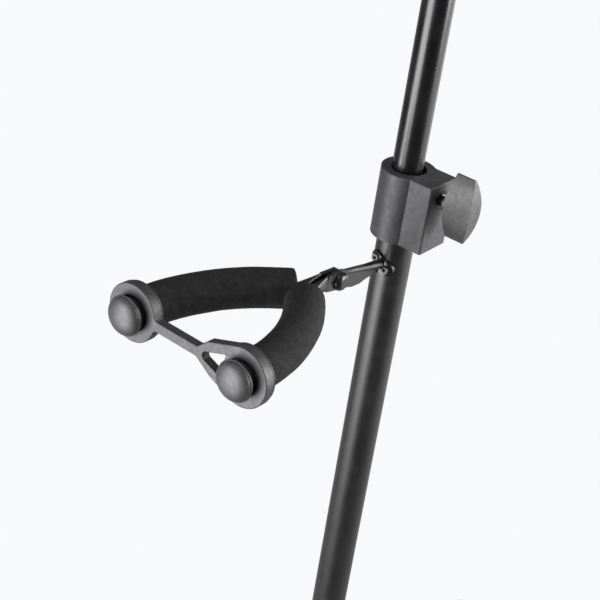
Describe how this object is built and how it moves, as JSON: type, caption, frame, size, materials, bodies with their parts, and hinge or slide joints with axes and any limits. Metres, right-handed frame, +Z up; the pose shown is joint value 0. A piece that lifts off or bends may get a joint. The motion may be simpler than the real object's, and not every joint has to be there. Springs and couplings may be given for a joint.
{
  "type": "instrument stand",
  "caption": "Leaning tube stand for a guitar: telescoping mast, folding padded neck rest with rubber lock strap, body cradle and folding legs.",
  "frame": {"origin": "on the floor, below the middle of the three feet", "axes": "+Z up, -Y towards the player and the neck rest, +X towards the clamp knobs; the mast leans 12 degrees back towards +Y"},
  "size_m": [0.459, 0.5476, 0.8761],
  "materials": {
    "powder_black": "semi-gloss black powder coat",
    "plastic_black": "fine-grained charcoal plastic",
    "rubber_black": "satin moulded rubber",
    "foam_black": "matt closed-cell foam",
    "steel_screw": "blackened steel",
    "brass_insert": "turned brass"
  },
  "bodies": {
    "stand": {"outer_tube": "powder_black", "clamp_body": "plastic_black", "clamp_insert": "brass_insert", "clamp_pad": "plastic_black", "hinge_bracket": "powder_black", "bracket_rivets": "powder_black", "hub_lower_plate": "powder_black", "hub_upper_plate": "powder_black", "socket_screw": "steel_screw", "hub_bolts": "steel_screw", "hub_nuts": "steel_screw", "rear_leg": "powder_black", "rear_foot": "rubber_black"},
    "extension": {"inner_tube": "powder_black", "inner_tube_cap": "plastic_black"},
    "clamp_knob": {"clamp_knob": "plastic_black", "clamp_screw": "steel_screw"},
    "neck_rest": {"left_arm": "powder_black", "right_arm": "powder_black", "left_arm_foam": "foam_black", "right_arm_foam": "foam_black", "left_backing_disc": "plastic_black", "right_backing_disc": "plastic_black", "left_cap": "rubber_black", "right_cap": "rubber_black", "hinge_rivet": "powder_black"},
    "strap": {"lock_strap": "rubber_black"},
    "cradle": {"cradle_body": "plastic_black", "cradle_insert": "brass_insert", "cradle_pad": "plastic_black", "left_cradle_pin": "steel_screw", "right_cradle_pin": "steel_screw"},
    "cradle_knob": {"cradle_knob": "plastic_black", "cradle_screw": "steel_screw"},
    "left_cradle_arm": {"left_cradle_arm": "powder_black", "left_cradle_foam": "foam_black", "left_cradle_tip": "rubber_black"},
    "right_cradle_arm": {"right_cradle_arm": "powder_black", "right_cradle_foam": "foam_black", "right_cradle_tip": "rubber_black"},
    "left_leg": {"left_leg": "powder_black", "left_foot": "rubber_black"},
    "right_leg": {"right_leg": "powder_black", "right_foot": "rubber_black"}
  },
  "joints": [
    {"name": "extension_slide", "type": "slide", "parent": "stand", "child": "extension", "axis": [0, 0.2079, 0.9781], "range_m": [-0.22, 0.15]},
    {"name": "clamp_knob_turn", "type": "hinge", "parent": "stand", "child": "clamp_knob", "pos_m": [0.04, 0.13067, 0.61477], "axis": [1, 0, 0], "range_deg": [0, 360]},
    {"name": "neck_rest_fold", "type": "hinge", "parent": "stand", "child": "neck_rest", "pos_m": [0, 0.06006, 0.58173], "axis": [1, 0, 0], "range_deg": [-80, 80]},
    {"name": "strap_unhook", "type": "hinge", "parent": "neck_rest", "child": "strap", "pos_m": [-0.022, -0.06787, 0.61618], "axis": [0, -0.2368, -0.9715], "range_deg": [0, 100], "stiffness_Nm_per_rad": 0.01, "deforming": ["lock_strap"]},
    {"name": "cradle_slide", "type": "slide", "parent": "stand", "child": "cradle", "axis": [0, 0.2079, 0.9781], "range_m": [-0.04, 0.12]},
    {"name": "cradle_knob_turn", "type": "hinge", "parent": "cradle", "child": "cradle_knob", "pos_m": [0.04, 0.03597, 0.16922], "axis": [1, 0, 0], "range_deg": [0, 360]},
    {"name": "left_cradle_fold", "type": "hinge", "parent": "cradle", "child": "left_cradle_arm", "pos_m": [-0.02, 0.00662, 0.17546], "axis": [0, 0.2079, 0.9781], "range_deg": [0, 32]},
    {"name": "right_cradle_fold", "type": "hinge", "parent": "cradle", "child": "right_cradle_arm", "pos_m": [0.02, 0.00662, 0.17546], "axis": [0, 0.2079, 0.9781], "range_deg": [-32, 0]},
    {"name": "left_leg_fold", "type": "hinge", "parent": "stand", "child": "left_leg", "pos_m": [-0.032, -0.025, 0.034], "axis": [0, 0, 1], "range_deg": [0, 38]},
    {"name": "right_leg_fold", "type": "hinge", "parent": "stand", "child": "right_leg", "pos_m": [0.032, -0.025, 0.034], "axis": [0, 0, 1], "range_deg": [-38, 0]}
  ]
}
